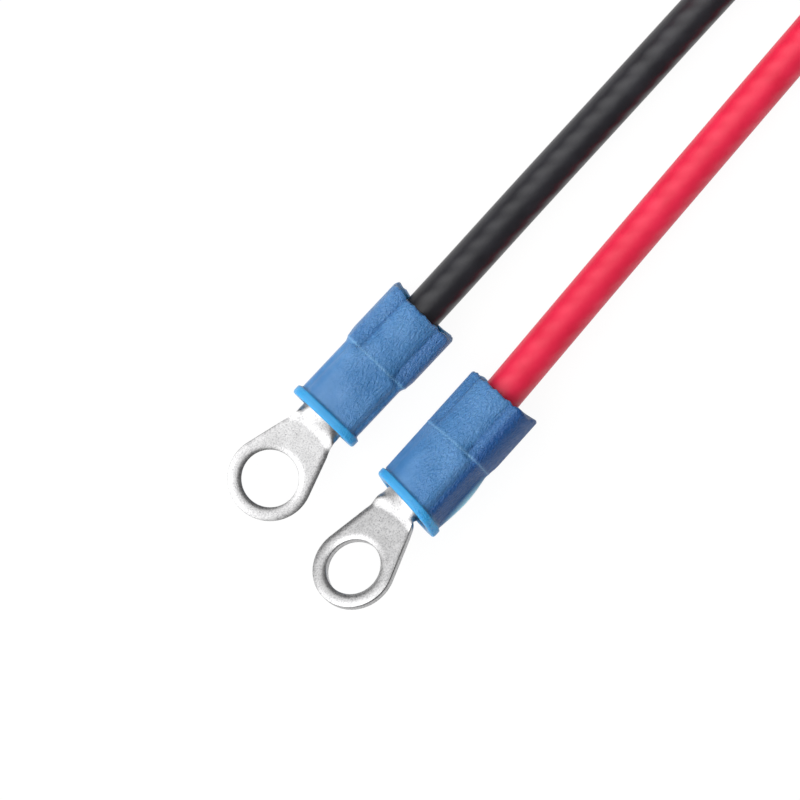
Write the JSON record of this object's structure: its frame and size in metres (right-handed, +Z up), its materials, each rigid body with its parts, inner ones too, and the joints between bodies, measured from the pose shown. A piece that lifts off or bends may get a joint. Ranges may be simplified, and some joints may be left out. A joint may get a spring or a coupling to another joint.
{
  "type": "solar cable connector",
  "caption": "Pair of solar leads, black and red: blue insulated ring terminals at one end, round locking connectors with turning cap nuts at the other, spare cable coiled.",
  "frame": {"origin": "on the resting surface, under the middle of the two ring terminals and their sleeves", "axes": "+X along the leads from the rings towards the cables, +Y from the red lead towards the black one, +Z up"},
  "size_m": [0.1514, 0.0458, 0.017],
  "materials": {
    "tinned_copper": "satin tin plate",
    "bare_copper": "bright drawn copper wire",
    "tinned_brass": "tin plate",
    "blue_pvc": "soft translucent PVC",
    "black_jacket": "satin cable jacket",
    "red_jacket": "satin cable jacket",
    "black_housing": "moulded, fine grain",
    "grey_nylon": "moulded",
    "seal_rubber": "soft rubber",
    "tie_nylon": "moulded nylon"
  },
  "bodies": {
    "root": {"black_ring_terminal": "tinned_copper", "black_sleeve": "blue_pvc", "black_strands": "bare_copper", "black_cable": "black_jacket", "black_coil": "black_jacket", "black_tail": "black_jacket", "black_housing": "black_housing", "black_contact": "tinned_brass", "black_contact_strands": "bare_copper", "black_gland_seal": "seal_rubber", "red_ring_terminal": "tinned_copper", "red_sleeve": "blue_pvc", "red_strands": "bare_copper", "red_cable": "red_jacket", "red_coil": "red_jacket", "red_tail": "red_jacket", "red_housing": "black_housing", "red_contact": "tinned_brass", "red_contact_strands": "bare_copper", "red_gland_seal": "seal_rubber", "coil_tie": "tie_nylon", "black_nose_ring": "seal_rubber"},
    "black_clamp": {"black_clamp_cage": "grey_nylon"},
    "black_nut": {"black_cap_nut": "black_housing"},
    "red_clamp": {"red_clamp_cage": "grey_nylon"},
    "red_nut": {"red_cap_nut": "black_housing"}
  },
  "joints": [
    {"name": "black_clamp_slide", "type": "slide", "parent": "root", "child": "black_clamp", "axis": [-1, 0, 0], "range_m": [0, 0.003]},
    {"name": "black_nut_turn", "type": "hinge", "parent": "black_clamp", "child": "black_nut", "pos_m": [0.091, 0.0173, 0.0085], "axis": [-1, 0, 0], "range_deg": [0, 720]},
    {"name": "red_clamp_slide", "type": "slide", "parent": "root", "child": "red_clamp", "axis": [-1, 0, 0], "range_m": [0, 0.003]},
    {"name": "red_nut_turn", "type": "hinge", "parent": "red_clamp", "child": "red_nut", "pos_m": [0.091, -0.0007, 0.0085], "axis": [-1, 0, 0], "range_deg": [0, 720]}
  ],
  "couplings": [
    {"joint": "black_clamp_slide", "follows": "black_nut_turn", "m_per_rad": 0.00023873},
    {"joint": "red_clamp_slide", "follows": "red_nut_turn", "m_per_rad": 0.00023873}
  ]
}
